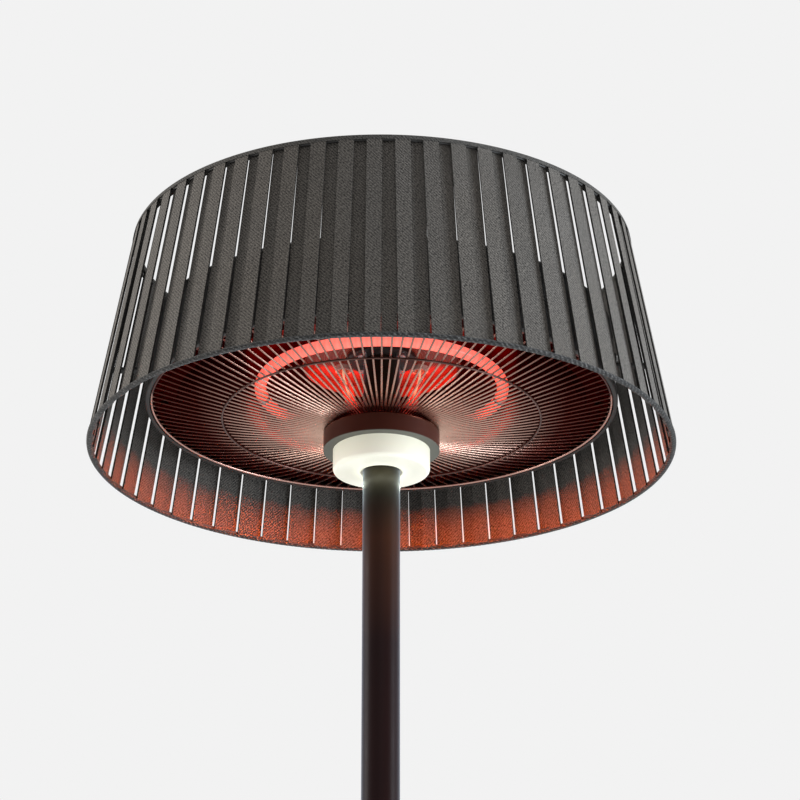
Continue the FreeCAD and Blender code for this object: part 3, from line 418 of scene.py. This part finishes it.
looks = {
    "webbing_outer": webbing(
        "webbing_outer", WEBBING_DARK, WEBBING_LIGHT, FIRST_STRAP, 0.25),
    "webbing_inner": webbing(
        "webbing_inner", WEBBING_DARK, WEBBING_LIGHT, FIRST_STRAP - 180 / STRAPS, 0.25),
    "edge_tape": webbing(
        "edge_tape", (0.012, 0.0112, 0.0102), (0.110, 0.104, 0.096), FIRST_STRAP, 0.12),
    "edge_cord": edge_cord(),
    "black_wire": paint("black_wire", (0.020, 0.019, 0.018), (0.040, 0.038, 0.036), 0.48),
    "drum_paint": paint("drum_paint", (0.012, 0.011, 0.010), (0.026, 0.024, 0.022), 0.55),
    "reflector_metal": reflector_metal(),
    "grille_wire": grille_metal(),
    "lamp_glass": lamp_glass(),
    "filament": filament(),
    "ceramic": plastic("ceramic", (0.74, 0.69, 0.60), (0.88, 0.84, 0.77), 0.38, 500, 0.00005),
    "hub_paint": hub_paint(),
    "diffuser": opal("diffuser", (0.60, 0.585, 0.475), (0.74, 0.73, 0.63), 0.52),
    "silicone": plastic("silicone", (0.60, 0.58, 0.50), (0.74, 0.72, 0.64), 0.5, 500, 0.00005),
    "board": plastic("board", (0.68, 0.69, 0.68), (0.84, 0.84, 0.82), 0.45, 600, 0.00004),
    "led": opal("led", (0.90, 0.82, 0.50), (1.0, 0.95, 0.75), 2.0),
    "rubber_black": rough_stuff(
        "rubber_black", (0.014, 0.014, 0.014), (0.036, 0.036, 0.036), 0.78, 500, 0.0001),
    "pole_paint": pole_paint(),
    "base_paint": paint(
        "base_paint", (0.030, 0.027, 0.026), (0.055, 0.050, 0.047), 0.42, coat=0.1),
    "iron": rough_stuff("iron", (0.050, 0.049, 0.048), (0.150, 0.145, 0.140), 0.7, 160, 0.0004),
    "zinc": metal("zinc", (0.45, 0.45, 0.44), (0.66, 0.66, 0.68), 0.36, 420),
    "wool": rough_stuff("wool", (0.50, 0.46, 0.38), (0.86, 0.83, 0.76), 0.9, 240, 0.0010),
    "plastic_black": plastic(
        "plastic_black", (0.018, 0.018, 0.018), (0.036, 0.035, 0.034), 0.55),
    "rocker": plastic(
        "rocker", (0.100, 0.100, 0.098), (0.140, 0.140, 0.137), 0.32, 700, 0.00003),
    "button_red": plastic("button_red", (0.26, 0.030, 0.016), (0.40, 0.060, 0.032), 0.42),
    "button_cream": plastic("button_cream", (0.68, 0.63, 0.51), (0.83, 0.79, 0.68), 0.42),
    "cable": rough_stuff(
        "cable", (0.018, 0.018, 0.018), (0.050, 0.050, 0.050), 0.62, 300, 0.0001),
}

for part in frame["record"]["subparts"]:
    mesh = frame["nodes"][part["node"]].data
    mesh.materials.clear()
    mesh.materials.append(looks[part["material_slot"]])
frame["nodes"]["grille_middle_ring"].data.materials[0] = ring_metal()
frame["nodes"]["ledge_screws"].data.materials[0] = looks["reflector_metal"]


# Edges of the shade
LEAN = math.atan2(FOOT_RADIUS - TOP_RADIUS, SHADE_HEIGHT - 2 * EDGE)


def on_slant(ring, level, side, step):
    """Radius and level of a point across and along the slant of the shade."""
    return (ring + side * math.cos(LEAN) - step * math.sin(LEAN),
            level + side * math.sin(LEAN) + step * math.cos(LEAN))


def ringed(name, steps, sides, section, turns):
    """Mesh round the pole whose section may change on the way."""
    points, quads = [], []
    for i in range(steps):
        along = math.tau * i / steps
        for j in range(sides):
            out, level = section(along, j)
            points.append((out * math.cos(along), out * math.sin(along), level))
    for i in range(steps):
        for j in range(sides):
            k, n = (i + 1) % steps, (j + 1) % sides
            quads.append((i * sides + j, k * sides + j, k * sides + n, i * sides + n))
    mesh = bpy.data.meshes.new(name)
    mesh.from_pydata(points, [], quads)
    layer = mesh.uv_layers.new(name="along_and_round")
    for i in range(steps):
        for j in range(sides):
            first = (i * sides + j) * 4
            corners = ((i, j), (i + 1, j), (i + 1, j + 1), (i, j + 1))
            for c, (a, b) in enumerate(corners):
                layer.data[first + c].uv = (a * turns / steps, b / sides)
    made = bpy.data.objects.new(name, mesh)
    bpy.context.scene.collection.objects.link(made)
    return made


CORD_TURNS, CORD_SIDES, CORD_STEPS = 314, 14, 16    # twists, sides, steps in each twist
CORD_HALF_WIDTH, CORD_HALF_HEIGHT = 0.0031, 0.0020
CORD_OUT, CORD_DOWN = 0.0010, 0.0025                # from the middle of the edge


def cord_section(along, j):
    """Three strands twisted together, wider than high, under the ends of the straps."""
    about = math.tau * j / CORD_SIDES
    lobe = abs(math.cos(1.5 * about + CORD_TURNS * along * 0.5))
    size = 0.88 + 0.12 * lobe ** 0.6
    return on_slant(
        FOOT_RADIUS - EDGE, HEAD + EDGE,
        CORD_OUT + CORD_HALF_WIDTH * size * math.cos(about),
        CORD_HALF_HEIGHT * size * math.sin(about) - CORD_DOWN)


cord = ringed("foot_edge_cord", CORD_TURNS * CORD_STEPS, CORD_SIDES, cord_section, CORD_TURNS)
cord.data.polygons.foreach_set("use_smooth", [True] * len(cord.data.polygons))
cord.data.materials.append(looks["edge_cord"])
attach(cord, "stand")
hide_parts("foot_binding")

# Section of the top tape, in millimetres across and along the slant
BAND = ((3.85, -1.5), (3.85, 2.4), (3.3, 3.7), (2.0, 4.4), (-2.0, 4.4), (-3.3, 3.7),
        (-4.0, 2.4), (-4.0, -1.5), (-3.75, -1.5), (-3.75, -0.4), (3.6, -0.4), (3.6, -1.5))
BAND_STEPS = 360


def band_section(_along, j):
    """Tape folded over the top ring and the ends of the straps."""
    side, step = BAND[j]
    return on_slant(
        TOP_RADIUS - EDGE, HEAD + SHADE_HEIGHT - EDGE, side / 1000, step / 1000)


band = ringed("top_edge_band", BAND_STEPS, len(BAND), band_section, BAND_STEPS)
band.data.materials.append(looks["edge_tape"])
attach(band, "stand")
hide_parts("top_binding")


# Floor, world, lights and camera
FLOOR_GLOW = 0.68               # what the camera sees of the floor besides its lit part
SOFT_SKY = 0.42                 # light of the world on the part
PALE_SKY = 0.888                # backdrop


def seen_share(tree):
    """1 for what the camera sees, itself or in metal and glass."""
    path = tree.nodes.new("ShaderNodeLightPath")
    share = path.outputs["Is Camera Ray"]
    for other in ("Is Glossy Ray", "Is Transmission Ray"):
        either = tree.nodes.new("ShaderNodeMath")
        either.operation = "MAXIMUM"
        tree.links.new(share, either.inputs[0])
        tree.links.new(path.outputs[other], either.inputs[1])
        share = either.outputs[0]
    return share


def floor_looks():
    """Pale floor: it keeps the shadow, and its own tone holds where the lights are near."""
    m = Looks("floor", rough=0.8)
    tone = m.noise(3, 4)
    m.set("Base Color", m.ramp(tone, (0.3, (0.80, 0.80, 0.80)), (0.7, (0.84, 0.84, 0.84))))
    shaded = m.node("ShaderNodeBsdfDiffuse", {
        "Color": m.ramp(tone, (0.3, (0.11, 0.11, 0.11)), (0.7, (0.12, 0.12, 0.12)))})
    steady = m.node("ShaderNodeEmission", {"Color": (1, 1, 1, 1), "Strength": FLOOR_GLOW})
    seen = m.node("ShaderNodeAddShader", {0: shaded, 1: steady})
    whole = m.node("ShaderNodeMixShader", {
        0: seen_share(m.tree), 1: m.shader.outputs[0], 2: seen})
    m.tree.links.new(whole, m.output.inputs[0])
    return m.material


bpy.ops.mesh.primitive_plane_add(size=60, location=(0, 0, 0))
floor = bpy.context.object
floor.name = "floor"
floor.data.materials.append(floor_looks())

world = bpy.data.worlds.new("studio")
bpy.context.scene.world = world
world.use_nodes = True
sky = world.node_tree
sky.nodes.clear()
sky_out = sky.nodes.new("ShaderNodeOutputWorld")
soft = sky.nodes.new("ShaderNodeBackground")
soft.inputs["Color"].default_value = (1, 1, 1, 1)
soft.inputs["Strength"].default_value = SOFT_SKY
pale = sky.nodes.new("ShaderNodeBackground")
pale.inputs["Color"].default_value = (PALE_SKY, PALE_SKY, PALE_SKY, 1)
choose = sky.nodes.new("ShaderNodeMixShader")
sky.links.new(seen_share(sky), choose.inputs[0])
sky.links.new(soft.outputs[0], choose.inputs[1])
sky.links.new(pale.outputs[0], choose.inputs[2])
sky.links.new(choose.outputs[0], sky_out.inputs[0])


def add_light(name, kind, spot, watts, colour):
    light = bpy.data.lights.new(name, kind)
    light.energy = watts
    light.color = colour
    made = bpy.data.objects.new(name, light)
    bpy.context.scene.collection.objects.link(made)
    made.location = spot
    made.visible_camera = False
    return made


def area_light(name, spot, aim, size, watts, colour):
    """Rectangle of light at a spot, turned towards its aim."""
    made = add_light(name, "AREA", spot, watts, colour)
    made.data.shape = "RECTANGLE"
    made.data.size, made.data.size_y = size
    away = Vector(spot) - Vector(aim)
    made.rotation_euler = away.to_track_quat("Z", "Y").to_euler()
    return made


def around(count):
    """Number and direction of evenly spaced spots round the pole."""
    for i in range(count):
        turn = math.tau * (i + 0.5) / count
        yield i, math.cos(turn), math.sin(turn)


HEAD_AIM = (0, 0, 1.9)
area_light("right_soft", (3.3, -0.8, 1.6), HEAD_AIM, (1.6, 2.2), 176, (0.84, 0.92, 1.0))
area_light("left_soft", (-3.2, 0.2, 2.0), HEAD_AIM, (1.4, 2.2), 93, (1.0, 0.97, 0.93))
area_light("front_soft", (0.4, -3.6, 3.4), (0, 0, 1.4), (2.4, 1.6), 14, (1, 1, 1))

# The lamp's own light: most of it thrown outwards by the reflector, more of it backwards,
# and a little all round the tube
GLOW = (1.0, 0.116, 0.001)
GLOW_SPOTS = 24
THROWN_WATTS, THROWN_BACK = 3.2, 3.1
THROWN_FROM, THROWN_TO = 0.10, 0.292    # distances from the pole
NEAR_WATTS = 0.10
for i, x, y in around(GLOW_SPOTS):
    thrown = area_light(
        f"thrown_glow_{i}", (THROWN_FROM * x, THROWN_FROM * y, HEAD + 0.058),
        (THROWN_TO * x, THROWN_TO * y, HEAD - 0.024), (0.06, 0.03),
        (THROWN_WATTS + THROWN_BACK * y) / GLOW_SPOTS, GLOW)
    thrown.visible_glossy = False
    thrown.data.spread = math.radians(42)
    near = add_light(
        f"near_glow_{i}", "POINT", (LAMP_RADIUS * x, LAMP_RADIUS * y, LAMP_LEVEL - 0.0125),
        NEAR_WATTS / GLOW_SPOTS, GLOW)
    near.data.shadow_soft_size = 0.012
    near.visible_glossy = False

# Light of the lamp's two ends on the roof and back wall of the recess
for side in (-1, 1):
    ends = area_light(
        f"recess_glow_{side}", (0.040 * side, 0.030, HEAD + 0.086),
        (0.056 * side, 0.081, HEAD + 0.101), (0.05, 0.03), 0.055, (1.0, 0.07, 0.02))
    ends.visible_glossy = False

# Light of the diffuser on the top of the pole
POLE_SPOTS = 16
POLE_WATTS = 0.028
POLE_FROM, POLE_TO = 0.040, 0.019       # distances from the pole's middle line
for i, x, y in around(POLE_SPOTS):
    low = area_light(
        f"diffuser_glow_{i}", (POLE_FROM * x, POLE_FROM * y, HEAD - 0.0246),
        (POLE_TO * x, POLE_TO * y, HEAD - 0.031), (0.012, 0.004),
        POLE_WATTS / POLE_SPOTS, (0.93, 1.0, 0.82))
    low.data.spread = math.radians(88)

# The photograph's view, from below the head
LOOKS_UP, LOOKS_ASIDE = 22.647, -0.424  # degrees
view = bpy.data.cameras.new("photo_view")
view.sensor_width = 36
view.lens = 121.0
view.clip_end = 100
camera = bpy.data.objects.new("photo_view", view)
bpy.context.scene.collection.objects.link(camera)
camera.location = (0, -2.556, 0.8644)
camera.rotation_euler = (math.radians(90 + LOOKS_UP), 0, math.radians(LOOKS_ASIDE))
bpy.context.scene.camera = camera
bpy.context.scene.view_settings.view_transform = "Standard"
